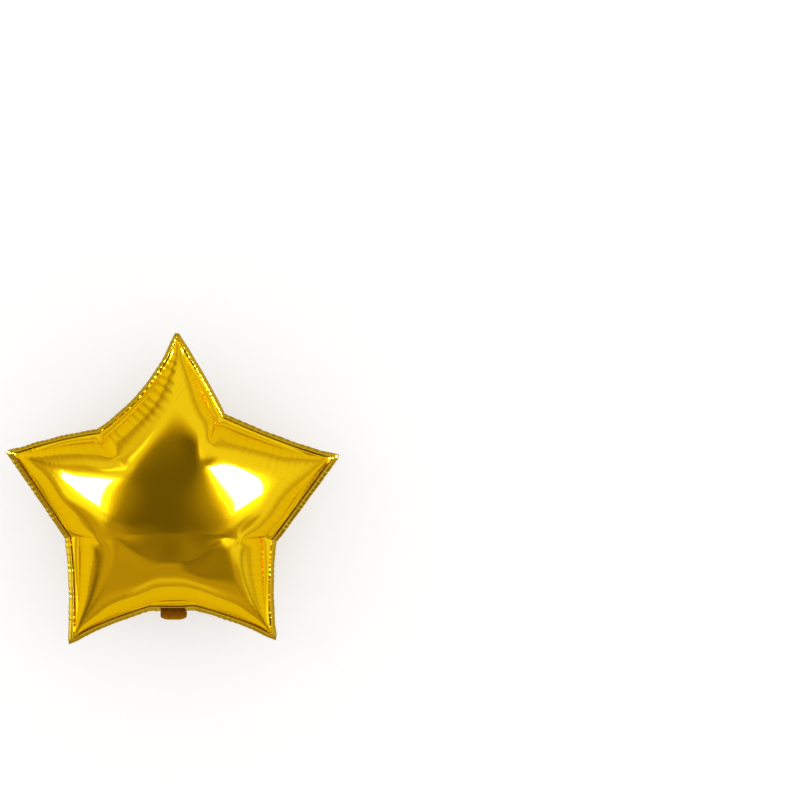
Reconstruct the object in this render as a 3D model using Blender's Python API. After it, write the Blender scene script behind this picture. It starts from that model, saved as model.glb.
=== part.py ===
"""A star balloon of gold metallised film, blown up tight and lying on its back.

Metres, +Z up. The front panel faces up, the star's upper tip points to +Y, and the back
crown rests on z = 0. The balloon is one welded envelope: a front panel, a back panel, the
flat seam that joins them all round, and the neck, which comes out of the lower notch and
is folded down behind the back panel. It is drawn as a loft through level sections: the
section in the seam's plane is a five-pointed star, and the sections above and below it
shrink and round off towards the two crowns. The loft is made for a regular star and then
bent to where this balloon's own corners, edges and dimples lie.
"""

import math

import bmesh
import bpy
import numpy as np

# The seam's star, measured from its centre to the weld line
ARMS = 5
TIP_RADIUS = 0.1990
NOTCH_RADIUS = 0.1240

# How this balloon's own star strays from that regular one, from the upper tip on and
# anticlockwise. A corner's turn is in degrees and its reach a share of its radius, and an
# edge's bow is a share of its length, outwards.
TIP_STRAYS = ((-1.2, -0.005), (0.4, 0.015), (-1.0, 0.005), (1.3, -0.018), (-1.6, 0.000))
NOTCH_STRAYS = ((10.5, 0.008), (-0.7, 0.048), (0.0, -0.012), (-1.6, 0.016), (7.0, -0.024))
EDGE_BOWS = (-0.072, 0.016, -0.003, -0.020, -0.013, -0.013, -0.020, 0.000, -0.020, 0.010)

# The lower notch is level over this width, where the neck stiffens it
BASE_WIDTH = 0.0540

# The crease that runs inwards from each side notch ends in a dimple: its radius on the
# regular star and this balloon's own, as shares of the notch radius, and its direction
DIMPLE_SHARE = 0.65
DIMPLES = ((1, 127.5, 0.61), (3, 206.6, 0.71), (7, 331.0, 0.65), (9, 55.7, 0.61))

# The pillow
HALF_THICKNESS = 0.0820
REST_FLAT_DEPTH = 0.0010

# The welded seam outside the weld line
SEAM_WIDTH = 0.0075
SEAM_THICKNESS = 0.0008

# Gathers that the tight film draws along each edge
GATHERS_PER_EDGE = 5
GATHER_DEPTH = 0.0016
GATHER_REACH = 0.0550
SEAM_RIPPLE = 0.0014

# The neck that the gas went in through
NECK_WIDTH = 0.0310
NECK_LENGTH = 0.0500
NECK_BEND_RADIUS = 0.0105
NECK_FOLD_ANGLE = math.radians(100)
NECK_CORNER = 0.0050

# How the sections change between the crown, share 0, and the seam, share 1
CROWN_POWER = 2.70
FALL_POWER = 1.05
NOTCH_STEEPNESS = 1.50
SOFT_EDGE_SHARES = (0.60, 0.80)
CREASE_SHARES = (0.40, 0.75)

# Where along each edge, from its tip, the weld line is brought to its own place
STRAY_SHARES = (0.0, 0.20, 0.40, 0.60, 0.80, 1.0)

# Mesh steps
COLUMNS_PER_GATHER = 4
PANEL_SHARES = (0.30, 0.45, 0.58, 0.70, 0.80, 0.88, 0.95, 1.00)
CROWN_SHARE = 0.14
NECK_BEND_STEPS = 6
NECK_FLAT_STEPS = 4

FOIL_COLOUR = (0.80, 0.50, 0.02, 1.0)
FOIL_ROUGHNESS = 0.14

HALF_ARM = math.pi / ARMS
EDGES = 2 * ARMS
COLUMNS_PER_EDGE = GATHERS_PER_EDGE * COLUMNS_PER_GATHER
REST_HEIGHT = HALF_THICKNESS - REST_FLAT_DEPTH


def smooth_step(low, high, value):
    """Rise from 0 at low to 1 at high, level at both ends."""
    share = np.clip((value - low) / (high - low), 0.0, 1.0)
    return share * share * (3.0 - 2.0 * share)


def star_columns():
    """The columns of the loft: for each, its direction from the centre, its angle from the
    nearest tip, the outward normal of the weld line there, and the wave of the gathers."""
    tip = np.array([TIP_RADIUS, 0.0])
    notch = NOTCH_RADIUS * np.array([math.cos(HALF_ARM), math.sin(HALF_ARM)])
    along = (notch - tip) / np.linalg.norm(notch - tip)
    edge_normal = np.array([along[1], -along[0]])
    notch_stretch = 1.0 / abs(edge_normal @ notch / NOTCH_RADIUS)
    direction, from_tip, normal, wave = [], [], [], []
    for edge in range(EDGES):
        tip_angle = math.pi / 2 + 2 * HALF_ARM * ((edge + 1) // 2)
        side = 1 if edge % 2 == 0 else -1
        for step in range(COLUMNS_PER_EDGE):
            share = step / COLUMNS_PER_EDGE
            if side < 0:
                share = 1.0 - share
            point = tip + share * (notch - tip)
            angle = math.atan2(point[1], point[0])
            local = edge_normal
            if share == 0.0:
                local = np.array([1.0, 0.0])
            if share == 1.0:
                local = notch_stretch * notch / NOTCH_RADIUS
            turn = tip_angle + side * math.atan2(local[1], local[0])
            direction.append(tip_angle + side * angle)
            from_tip.append(angle)
            normal.append(np.linalg.norm(local) * np.array([math.cos(turn), math.sin(turn)]))
            quarter = 2 * math.pi * GATHERS_PER_EDGE * share + math.pi / 2 * (edge % 4)
            wave.append(math.sin(quarter) * math.sin(math.pi * share) ** 0.5)
    return np.array(direction), np.array(from_tip), np.array(normal), np.array(wave)


def section_height(share):
    """Height above the seam's plane of the section whose tips lie at that share of the way out."""
    return HALF_THICKNESS * (1.0 - share ** CROWN_POWER) ** FALL_POWER


def share_at_height(height):
    """The share of the way out where the panel is at that height."""
    return (1.0 - (height / HALF_THICKNESS) ** (1.0 / FALL_POWER)) ** (1.0 / CROWN_POWER)


def section_radius(share, from_tip):
    """Radius of a section in each direction: a straight-edged star in the outer part, inside it
    a soft star whose notches stay creased for a while, and near the crown a plain round."""
    tip = TIP_RADIUS * share
    notch = NOTCH_RADIUS * math.tanh(NOTCH_STEEPNESS * share) / math.tanh(NOTCH_STEEPNESS)
    inverse = np.sin(HALF_ARM - from_tip) / tip + np.sin(from_tip) / notch
    straight = inverse / math.sin(HALF_ARM)
    turn = from_tip / HALF_ARM
    crease = 1.0 - smooth_step(*CREASE_SHARES, share)
    creased = 1.0 - np.cos(math.pi / 2 * turn)
    rounded = 0.5 - 0.5 * np.cos(math.pi * turn)
    mix = creased + crease * (rounded - creased)
    soft = (1.0 - mix) / tip + mix / notch
    softness = 1.0 - smooth_step(*SOFT_EDGE_SHARES, share)
    return 1.0 / (straight + softness * (soft - straight))


def section_ring(share, side, columns):
    """One level section of a panel, side +1 above the seam's plane and -1 below it."""
    direction, from_tip, _, wave = columns
    radius = section_radius(share, from_tip)
    reach = np.clip(1.0 - TIP_RADIUS * (1.0 - share) / GATHER_REACH, 0.0, 1.0)
    radius = radius + side * GATHER_DEPTH * reach * (1.0 - reach) * 4.0 * wave
    height = side * max(section_height(share), SEAM_THICKNESS / 2)
    ripple = SEAM_RIPPLE * reach ** 2 * wave
    return np.column_stack([radius * np.cos(direction), radius * np.sin(direction), height + ripple])


def seam_edge(side, columns):
    """The seam's outer edge: the weld line moved out by the seam's width, rippled."""
    direction, from_tip, normal, wave = columns
    weld = section_radius(1.0, from_tip)
    centre = np.column_stack([weld * np.cos(direction), weld * np.sin(direction)])
    height = side * SEAM_THICKNESS / 2 - 2.0 * SEAM_RIPPLE * wave
    return np.column_stack([centre + SEAM_WIDTH * normal, height])


def corner_places():
    """The ten corners of the weld line, from the upper tip on: regular, and this balloon's own."""
    regular, own = [], []
    for corner in range(EDGES):
        turn, reach = (TIP_STRAYS, NOTCH_STRAYS)[corner % 2][corner // 2]
        radius = (TIP_RADIUS, NOTCH_RADIUS)[corner % 2]
        angle = math.pi / 2 + HALF_ARM * corner
        regular.append(radius * np.array([math.cos(angle), math.sin(angle)]))
        angle += math.radians(turn)
        own.append(radius * (1.0 + reach) * np.array([math.cos(angle), math.sin(angle)]))
    return regular, own


def edge_place(corners, edge, share):
    """A point of this balloon's own weld line, at a share of the way from the edge's tip to its
    notch: on a parabola, and at the lower notch to the end of the level base and along it."""
    side = 1 if edge % 2 == 0 else -1
    tip = corners[edge if side > 0 else (edge + 1) % EDGES]
    notch = corners[edge + 1 if side > 0 else edge]
    base, level = notch, 0.0
    if ARMS in (edge, edge + 1):
        base = notch - np.array([side * BASE_WIDTH / 2, 0.0])
        level = BASE_WIDTH / 2 / math.dist(notch, tip)
    run = base - tip
    outward = side * np.array([run[1], -run[0]])
    rest = min(share / (1.0 - level), 1.0)
    beyond = max(share - 1.0 + level, 0.0) / level if level else 0.0
    return tip + run * rest + outward * EDGE_BOWS[edge] * 4.0 * rest * (1.0 - rest) + (notch - base) * beyond


def stray_shifts():
    """Places on the regular star, and how far this balloon's own form strays from each."""
    regular, own = corner_places()
    places, targets = [np.zeros(2)], [np.zeros(2)]
    for edge in range(EDGES):
        tip, notch = (edge, edge + 1) if edge % 2 == 0 else ((edge + 1) % EDGES, edge)
        for share in STRAY_SHARES[edge % 2:len(STRAY_SHARES) - edge % 2]:
            places.append(regular[tip] + (regular[notch] - regular[tip]) * share)
            targets.append(edge_place(own, edge, share))
    for corner, angle, share in DIMPLES:
        turned = math.radians(angle)
        places.append(regular[corner] * DIMPLE_SHARE)
        targets.append(NOTCH_RADIUS * share * np.array([math.cos(turned), math.sin(turned)]))
    places = np.array(places)
    return places, np.array(targets) - places


def stray(ring):
    """Bends a ring of the regular star into this balloon's own form. The bending is the
    thin-plate spline, whose kernel is the distance squared times its logarithm."""
    def kernel(first, second):
        square = ((first[:, None, :] - second[None, :, :]) ** 2).sum(axis=2) / TIP_RADIUS ** 2
        return square * np.log(np.maximum(square, 1e-12))

    def plane(points):
        return np.column_stack([np.ones(len(points)), points / TIP_RADIUS])

    places, shifts = stray_shifts()
    count = len(places)
    system = np.zeros((count + 3, count + 3))
    system[:count, :count] = kernel(places, places)
    system[:count, count:] = plane(places)
    system[count:, :count] = plane(places).T
    weights = np.linalg.solve(system, np.vstack([shifts, np.zeros((3, 2))]))
    shift = kernel(ring[:, :2], places) @ weights[:count] + plane(ring[:, :2]) @ weights[count:]
    return np.column_stack([ring[:, :2] + shift, ring[:, 2]])


def skin(bm, ring_a, ring_b):
    """Quads between two closed rings of as many vertices."""
    count = len(ring_a)
    for index in range(count):
        after = (index + 1) % count
        bm.faces.new((ring_a[index], ring_a[after], ring_b[after], ring_b[index]))


def cap(bm, ring, height):
    """A fan from a ring to one vertex in its middle."""
    middle = bm.verts.new((0.0, 0.0, height))
    count = len(ring)
    for index in range(count):
        bm.faces.new((ring[index], ring[(index + 1) % count], middle))


def neck_path():
    """Points and tangents of the neck's middle line, as distance out and height, from the
    seam's edge at the lower notch: round the fold, then straight down behind the panel."""
    path = []
    for step in range(1, NECK_BEND_STEPS + 1):
        angle = NECK_FOLD_ANGLE * step / NECK_BEND_STEPS
        out = NECK_BEND_RADIUS * math.sin(angle)
        down = NECK_BEND_RADIUS * (1.0 - math.cos(angle))
        path.append((out, -down, math.cos(angle), -math.sin(angle)))
    out, height, out_step, down_step = path[-1]
    flat = NECK_LENGTH - NECK_BEND_RADIUS * NECK_FOLD_ANGLE
    lengths = [(flat - NECK_CORNER) * step / (NECK_FLAT_STEPS - 1) for step in range(1, NECK_FLAT_STEPS)]
    for length in lengths + [flat]:
        path.append((out + out_step * length, height + down_step * length, out_step, down_step))
    return path


def add_neck(bm, top, bottom):
    """Skin the neck on from the seam's edge between the given top and bottom vertices."""
    count = len(top)
    start = min(vertex.co.y for vertex in top)
    across = np.linspace(-NECK_WIDTH / 2, NECK_WIDTH / 2, count)
    lift = SEAM_THICKNESS / 2
    path = neck_path()
    loop = top + bottom[::-1]
    for index, (out, height, out_step, down_step) in enumerate(path):
        corner = NECK_CORNER if index == len(path) - 1 else 0.0
        places = across * (1.0 - 2.0 * corner / NECK_WIDTH)
        upper = [(place, start - out + down_step * lift, height + out_step * lift) for place in places]
        lower = [(place, start - out - down_step * lift, height - out_step * lift) for place in places]
        fresh = [bm.verts.new(point) for point in upper + lower[::-1]]
        skin(bm, loop, fresh)
        loop = fresh
    for index in range(count - 1):
        bm.faces.new((loop[index], loop[index + 1], loop[-2 - index], loop[-1 - index]))


def build_envelope():
    """The whole balloon as one closed mesh, in the frame of the seam's star."""
    columns = star_columns()
    bm = bmesh.new()
    flat_share = share_at_height(REST_HEIGHT)
    rings = [section_ring(share, 1, columns) for share in (CROWN_SHARE,) + PANEL_SHARES]
    rings.append(seam_edge(1, columns))
    rings.append(seam_edge(-1, columns))
    rings += [section_ring(share, -1, columns) for share in PANEL_SHARES[::-1] + (flat_share,)]
    rings = [stray(ring) for ring in rings]
    rows = [[bm.verts.new(point) for point in ring] for ring in rings]
    cap(bm, rows[0], HALF_THICKNESS)
    rim = len(PANEL_SHARES) + 1
    for index in range(len(rows) - 1):
        if index != rim:
            skin(bm, rows[index], rows[index + 1])
    cap(bm, rows[-1], -REST_HEIGHT)

    # The rim is closed all round but for the neck, which grows out of the lower notch
    middle = ARMS * COLUMNS_PER_EDGE
    pitch = math.dist(rings[rim][middle + 2], rings[rim][middle + 1])
    half = max(2, round(NECK_WIDTH / 2 / pitch))
    total = EDGES * COLUMNS_PER_EDGE
    for index in range(total):
        if middle - half <= index < middle + half:
            continue
        after = (index + 1) % total
        bm.faces.new((rows[rim][index], rows[rim][after], rows[rim + 1][after], rows[rim + 1][index]))
    span = range(middle - half, middle + half + 1)
    add_neck(bm, [rows[rim][index] for index in span], [rows[rim + 1][index] for index in span])
    bmesh.ops.recalc_face_normals(bm, faces=bm.faces)
    return bm


def foil_material():
    """Gold lacquer on a bright metal film."""
    material = bpy.data.materials.new("gold_foil")
    material.use_nodes = True
    shader = material.node_tree.nodes["Principled BSDF"]
    shader.inputs["Base Color"].default_value = FOIL_COLOUR
    shader.inputs["Metallic"].default_value = 1.0
    shader.inputs["Roughness"].default_value = FOIL_ROUGHNESS
    return material


def main():
    for old in list(bpy.data.objects):
        bpy.data.objects.remove(old)
    collection = bpy.data.collections.new("star_foil_balloon")
    bpy.context.scene.collection.children.link(collection)

    bm = build_envelope()
    places = np.array([vertex.co[:] for vertex in bm.verts])
    middle = (places.max(axis=0) + places.min(axis=0)) / 2
    bmesh.ops.translate(bm, verts=bm.verts, vec=(-middle[0], -middle[1], REST_HEIGHT))
    mesh = bpy.data.meshes.new("star_balloon")
    bm.to_mesh(mesh)
    bm.free()
    mesh.shade_smooth()
    mesh.set_sharp_from_angle(angle=math.radians(40))
    mesh.materials.append(foil_material())
    balloon = bpy.data.objects.new("star_balloon", mesh)
    collection.objects.link(balloon)


main()
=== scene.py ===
"""Looks of a gold foil star balloon that lies on its back, front panel up.

The two panels are cut flat as fat stars, joined at the edge and blown up with Blender's
cloth. The blown shape is then fitted to the star's real corners, gets its facets, creases
and gathers, and the crinkled seam and the folded neck are added to it. Metres, +Z up.

The ten edges are numbered anticlockwise from the top tip's left edge on, and so are the ten
corners, from the top tip on: tips have even numbers and notches odd ones.
"""

import math

import bpy
import numpy as np
from bpy.props import FloatProperty, FloatVectorProperty, IntProperty, PointerProperty
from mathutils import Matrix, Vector


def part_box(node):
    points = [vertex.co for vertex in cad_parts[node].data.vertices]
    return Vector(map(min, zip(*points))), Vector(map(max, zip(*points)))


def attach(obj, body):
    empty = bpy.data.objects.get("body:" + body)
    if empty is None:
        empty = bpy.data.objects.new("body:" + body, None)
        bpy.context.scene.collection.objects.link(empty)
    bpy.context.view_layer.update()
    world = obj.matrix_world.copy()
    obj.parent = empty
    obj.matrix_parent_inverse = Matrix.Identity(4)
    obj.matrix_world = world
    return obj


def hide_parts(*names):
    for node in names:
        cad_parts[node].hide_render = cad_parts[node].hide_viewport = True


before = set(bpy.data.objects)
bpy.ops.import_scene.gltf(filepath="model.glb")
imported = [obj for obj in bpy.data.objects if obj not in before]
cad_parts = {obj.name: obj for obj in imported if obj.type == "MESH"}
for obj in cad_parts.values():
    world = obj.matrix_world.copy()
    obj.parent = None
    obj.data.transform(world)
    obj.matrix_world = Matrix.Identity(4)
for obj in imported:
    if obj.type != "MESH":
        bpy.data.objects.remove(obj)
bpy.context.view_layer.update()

bl_info = {
    "name": "Foil star balloon",
    "version": (1, 0, 0),
    "blender": (4, 5, 0),
    "location": "View3D > Sidebar > Balloon",
    "description": "Dresses a star balloon of gold film: blown panels, crinkled seam and folded neck",
    "category": "Object",
}

NODE = "star_balloon"
BODY = "root"

# How far each corner of this balloon strays from a regular star, from the top tip on,
# anticlockwise: degrees of turn, then metres of reach
TIP_STRAYS = ((-1.2, 0.002), (0.4, 0.003), (-1.0, 0.001), (1.3, -0.0035), (-1.6, 0.0))
NOTCH_STRAYS = ((10.5, 0.001), (-0.7, 0.006), (0.0, -0.0015), (-1.6, 0.002), (7.0, -0.003))

# The star, as the frame gives it: its two side tips lie near the box's sides and its top tip
# near the box's upper side. Its centre is then shifted a little, as the photograph shows it.
ARMS = 5
EDGES = 2 * ARMS
HALF_ARM = math.pi / ARMS
NODE_LOW, NODE_HIGH = (Vector(corner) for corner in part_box(NODE))
TIP_ANGLES = [math.pi / 2 + 2 * HALF_ARM * step + math.radians(turn)
              for step, (turn, _) in enumerate(TIP_STRAYS)]
LEFT_SHARE, RIGHT_SHARE = -math.cos(TIP_ANGLES[1]), math.cos(TIP_ANGLES[-1])
OUTER_RADIUS = (NODE_HIGH.x - NODE_LOW.x - TIP_STRAYS[1][1] * LEFT_SHARE
                - TIP_STRAYS[-1][1] * RIGHT_SHARE) / (LEFT_SHARE + RIGHT_SHARE)
STAR_SHIFT = (-0.0005, 0.0023)
STAR_X = NODE_HIGH.x - (OUTER_RADIUS + TIP_STRAYS[-1][1]) * RIGHT_SHARE + STAR_SHIFT[0]
STAR_Y = NODE_HIGH.y - (OUTER_RADIUS + TIP_STRAYS[0][1]) * math.sin(TIP_ANGLES[0]) + STAR_SHIFT[1]
FULL_THICKNESS = NODE_HIGH.z - NODE_LOW.z

# How far the middle of each edge bows out
EDGE_BOWS = (-0.0115, 0.0025, -0.0005, -0.0030, -0.0020, -0.0020, -0.0030, 0.0000, -0.0030, 0.0015)

# Where the crease from each notch ends in a dimple: degrees, then metres from the centre
DIMPLES = ((140.0, 0.078), (206.6, 0.088), (331.0, 0.081), (55.7, 0.076))

# Strength of the gathers along each edge
EDGE_GATHERS = (1.0, 0.20, 0.12, 0.12, 0.10, 0.10, 0.15, 0.12, 0.20, 0.15)

# How far the seam leans down along each edge, as a share of its width, and how dark the
# painted shade on it is there, which also sets how high its ripples are
SEAM_LEANS = (0.80, 0.80, 0.50, 0.50, 0.65, 0.65, 0.75, 0.50, 0.80, 0.80)
SEAM_SHADES_AND_RIPPLES = (0.75, 0.75, 0.20, 0.10, 0.25, 0.25, 0.40, 0.20, 0.75, 0.45)

# Shares of each edge, from its tip to its notch, where the weld line is brought to its place. Two
# edges meet at a corner, so every other edge leaves its first share to its neighbour.
SEAM_SHARES = (0.0, 0.08, 0.25, 0.50, 0.75, 0.92, 1.0)

# How dark the painted shade is along a row of gather ends on the inner side of each edge's
# facet, where that row lies as a share of the facet, and how wide it is
EDGE_ROWS = (0.0, 0.0, 0.25, 0.0, 0.0, 0.0, 0.15, 0.0, 0.9, 0.0)
ROW_SHARE = 0.8
ROW_WIDTH = 0.0022

# Stripes of painted shade beside some facets: the edge, the stripe's place and width as shares
# of the facet, and how dark it is
STRIPES = ((3, 1.78, 0.13, 1.0), (6, 1.85, 0.06, 0.80))

# The shallow fold between the two lower dimples: half its span, the rise of its upper side to
# the middle, its upper side, its height, and the width of the line of painted shade along
# its upper side
FOLD_HALF_SPAN = 0.067
FOLD_ARCH = 0.0045
FOLD_TOP = -0.0365
FOLD_HEIGHT = 0.036
FOLD_LINE = 0.0012

# How far in from the seam the broad gathers reach their full height, start to fade and end, and
# how far in the fine ones are highest
GATHERS_FULL = 0.030
GATHERS_FADE = 0.050
GATHERS_END = 0.078
FINE_GATHERS = 0.009

# The crease from a side notch: how much of its depth is sharp, and over what distance aside its
# sharp and its broad part die away
SHARP_SHARE = 0.3
SHARP_WIDTH = 0.0035
BROAD_WIDTH = 0.014

# How far from the tips and from the notches the relief of an edge grows to its full height
TIP_FADE = 0.030
NOTCH_FADE = 0.012

# Seeds of the random draws, one for each wave and one for the cloth's first gap
BROAD_SEED = 11
MIDDLE_SEED = 12
TILT_SEED = 24
GAP_SEED = 5

# How far the seam's place is carried into the film when the weld line is laid on its course
SETTLE_REACH = 0.010

# At a tip the seam's corner is mitred over this length, by up to this angle
MITRE_REACH = 0.012
MITRE_ANGLE = math.radians(57)

# The camera, and where the star's centre lies in the picture, in pixels
CAMERA_DISTANCE = 8.0
VIEW_WIDTH = 0.96
PICTURE_SIDE = 800.0
STAR_PIXEL = (173.3, 504.6)

# The two softboxes: name, the two slopes of film that show its middle, width and height
SOFTBOXES = (("left_softbox", -0.40, 0.165, 0.40, 1.10), ("right_softbox", 0.315, 0.125, 0.64, 0.66))
SOFTBOX_DISTANCE = 2.0
SOFTBOX_LIGHT = 260.0


class BalloonSizes(bpy.types.PropertyGroup):
    """Sizes of the film, the seam and the neck."""

    seam_width: FloatProperty(name="Seam width", description="Flat seam outside the weld line",
        default=0.0075, unit="LENGTH")
    base_width: FloatProperty(name="Base width", default=0.0540, unit="LENGTH",
        description="Level stretch of the lower notch, where the neck is")
    notch_radius: FloatProperty(name="Notch radius", description="Centre to the weld line at a notch",
        default=0.1240, unit="LENGTH")
    rest_flat: FloatProperty(name="Rest flat", default=0.0010, unit="LENGTH",
        description="Depth that the table presses into the back crown")
    gather_pitch: FloatProperty(name="Gather pitch", description="Usual distance between two gathers",
        default=0.0085, unit="LENGTH")
    gather_depth: FloatProperty(name="Gather depth", description="Height of the main gathers",
        default=0.00026, unit="LENGTH")
    facet_width: FloatProperty(name="Facet width", description="Width of the flat facets along the seam",
        default=0.0380, unit="LENGTH")
    facet_depth: FloatProperty(name="Facet depth", description="How much those facets are flattened",
        default=0.0062, unit="LENGTH")
    notch_depth: FloatProperty(name="Notch depth", default=0.0055, unit="LENGTH",
        description="Depth of the crease that runs in from each side notch")
    fold_depth: FloatProperty(name="Fold depth", default=0.0006, unit="LENGTH",
        description="Depth of the flat fold between the two lower dimples")
    seam_ripple: FloatProperty(name="Seam ripple", default=0.00018, unit="LENGTH",
        description="Height of the seam's ripples at its outer edge")
    film: FloatProperty(name="Film", default=0.0003, unit="LENGTH",
        description="Thickness of the seam's and the neck's two films")
    neck_width: FloatProperty(name="Neck width", description="Width of the folded neck",
        default=0.0310, unit="LENGTH")
    neck_length: FloatProperty(name="Neck length", description="Length of the folded neck",
        default=0.0500, unit="LENGTH")
    neck_bend: FloatProperty(name="Neck bend", description="Radius of the fold in the neck",
        default=0.0105, unit="LENGTH")


class BlowSettings(bpy.types.PropertyGroup):
    """The flat pattern and the cloth that blows it up."""

    cells: IntProperty(name="Cells", description="Squares along each edge of the pattern", default=24)
    cut_radius: FloatProperty(name="Cut radius", description="Tip radius of the flat pattern",
        default=0.2190, unit="LENGTH")
    cut_notch: FloatProperty(name="Cut notch", description="Notch radius of the flat pattern",
        default=0.1690, unit="LENGTH")
    cut_bow: FloatProperty(name="Cut bow", default=-0.012,
        description="Bow of a flat edge, as a share of its length")
    cut_base: FloatProperty(name="Cut base", default=0.0580, unit="LENGTH",
        description="Level stretch of the flat pattern's lower notch")
    fit_slack: FloatProperty(name="Fit slack", default=0.00002,
        description="How loosely the film follows when the seam is placed")
    calm_reach: FloatProperty(name="Calm reach", default=0.0750, unit="LENGTH",
        description="How far from a notch the crumples are ironed out")
    calm_rounds: IntProperty(name="Calm rounds", description="How often they are ironed", default=30)
    dimple_share: FloatProperty(name="Dimple share", default=0.475,
        description="Where a notch's crease ends, from the centre out")
    pressure: FloatProperty(name="Pressure", description="Push of the gas on the film", default=150.0)
    stiffness: FloatProperty(name="Stiffness", description="Stretch stiffness of the film", default=100.0)
    bending: FloatProperty(name="Bending", description="Bending stiffness of the film", default=0.1)
    frames: IntProperty(name="Frames", description="Steps until the film is at rest", default=40)


class FoilColours(bpy.types.PropertyGroup):
    """Colours of the film and the floor."""

    gold: FloatVectorProperty(name="Gold", description="Gold lacquer over the bright metal",
        subtype="COLOR", size=4, default=(0.82, 0.53, 0.004, 1.0))
    # The seam's gold is darker than the panels' gold: painted shade
    seam_shaded_gold: FloatVectorProperty(name="Seam gold", description="Lacquer of the crinkled seam",
        subtype="COLOR", size=4, default=(0.62, 0.43, 0.020, 1.0))
    # The neck's gold is much darker than the panels' gold: painted shade
    neck_shaded_gold: FloatVectorProperty(name="Neck gold", subtype="COLOR", size=4,
        default=(0.30, 0.12, 0.004, 1.0),
        description="Lacquer of the neck, where two films lie double")
    floor: FloatVectorProperty(name="Floor", description="Pale floor", subtype="COLOR",
        size=4, default=(0.90, 0.90, 0.90, 1.0))
    floor_mirrored: FloatVectorProperty(name="Floor mirrored", subtype="COLOR", size=4,
        default=(0.90, 0.82, 0.70, 1.0),
        description="The floor as the film mirrors it")


class Shade:
    """A number that a shader works out. Plus, minus, times and over on it add Math nodes."""

    def __init__(self, maker, socket):
        self.maker = maker
        self.socket = socket

    def __add__(self, other):
        return self.maker.maths("ADD", self, other)

    def __radd__(self, other):
        return self.maker.maths("ADD", other, self)

    def __sub__(self, other):
        return self.maker.maths("SUBTRACT", self, other)

    def __rsub__(self, other):
        return self.maker.maths("SUBTRACT", other, self)

    def __mul__(self, other):
        return self.maker.maths("MULTIPLY", self, other)

    def __rmul__(self, other):
        return self.maker.maths("MULTIPLY", other, self)

    def __truediv__(self, other):
        return self.maker.maths("DIVIDE", self, other)

    def __rtruediv__(self, other):
        return self.maker.maths("DIVIDE", other, self)


class ShadeMaker:
    """Adds nodes to one tree and hands back their outputs."""

    def __init__(self, tree):
        self.tree = tree
        tree.nodes.clear()

    def node(self, kind, settings=None, inputs=None, output=0):
        """Adds a node, sets it and its inputs, and gives one of its outputs."""
        made = self.tree.nodes.new(kind)
        for name, value in (settings or {}).items():
            setattr(made, name, value)
        for name, value in (inputs or {}).items():
            if isinstance(value, Shade):
                self.tree.links.new(value.socket, made.inputs[name])
            else:
                made.inputs[name].default_value = value
        return Shade(self, made.outputs[output]) if len(made.outputs) else made

    def patch(self, across, along, centre, half, soft):
        """1 inside a rectangle of two values, 0 outside it, smooth between."""
        inside = 1.0
        for value, middle, reach in zip((across, along), centre, half):
            away = self.maths("ABSOLUTE", value - middle)
            inside = (1.0 - self.rise(away, reach - soft, reach + soft)) * inside
        return inside

    def maths(self, operation, first, second=0.0):
        """One Math node."""
        return self.node("ShaderNodeMath", {"operation": operation}, {0: first, 1: second})

    def blend(self, share, first, second):
        """The colour that lies at a share of the way from the first to the second."""
        return self.node("ShaderNodeMix", {"data_type": "RGBA"}, {0: share, 6: first, 7: second}, 2)

    def rise(self, value, low, high):
        """0 below low, 1 above high, smooth between."""
        settings = {"interpolation_type": "SMOOTHSTEP"}
        ends = {"Value": value, "From Min": low, "From Max": high}
        return self.node("ShaderNodeMapRange", settings, ends)


def smooth_step(low, high, value):
    """Rise from 0 at low to 1 at high, level at both ends."""
    share = np.clip((value - low) / (high - low), 0.0, 1.0)
    return share * share * (3.0 - 2.0 * share)


def corner_places(tip_radius, notch_radius):
    """The ten corners of a regular star, from the top tip on, anticlockwise."""
    angles = math.pi / 2 + HALF_ARM * np.arange(EDGES)
    radii = np.where(np.arange(EDGES) % 2 == 0, tip_radius, notch_radius)
    return np.column_stack([radii * np.cos(angles), radii * np.sin(angles)])


def bowed_edge(start, end, share, settings):
    """A run from a notch to a tip, pushed outwards by a parabola. From the lower notch it first
    goes level for half the base, over as many squares as that takes."""
    base, level = start, 0.0
    if abs(start[0]) < 1e-6:
        base = start + np.array([math.copysign(settings.cut_base / 2, end[0]), 0.0])
        level = round(settings.cut_base / 2 / np.hypot(*(end - start)) * settings.cells) / settings.cells
    run = end - base
    normal = np.array([run[1], -run[0]])
    normal = normal * np.sign(normal @ (base + end))
    rest = np.clip((share - level) / (1.0 - level), 0.0, 1.0)
    first = np.clip(share / level, 0.0, 1.0) if level else 0.0
    bow = normal * settings.cut_bow * 4.0 * rest * (1.0 - rest)
    return start + (base - start) * first + run * rest + bow


def kite_patch(corners, arm, cells, settings):
    """One arm of the flat star as a square grid: the blend of its four border lines, which
    is the sum of the two blends of facing borders less the blend of the four corners."""
    tip, right, left = corners[2 * arm], corners[2 * arm - 1], corners[(2 * arm + 1) % EDGES]
    along = np.linspace(0.0, 1.0, cells + 1)[:, None, None]
    across = np.linspace(0.0, 1.0, cells + 1)[None, :, None]
    right_edge = bowed_edge(right, tip, across, settings)
    left_edge = bowed_edge(left, tip, along, settings)
    faces = (1 - along) * left * across + along * right_edge
    sides = (1 - across) * right * along + across * left_edge
    square = along * (1 - across) * right + (1 - along) * across * left + along * across * tip
    return faces + sides - square


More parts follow.
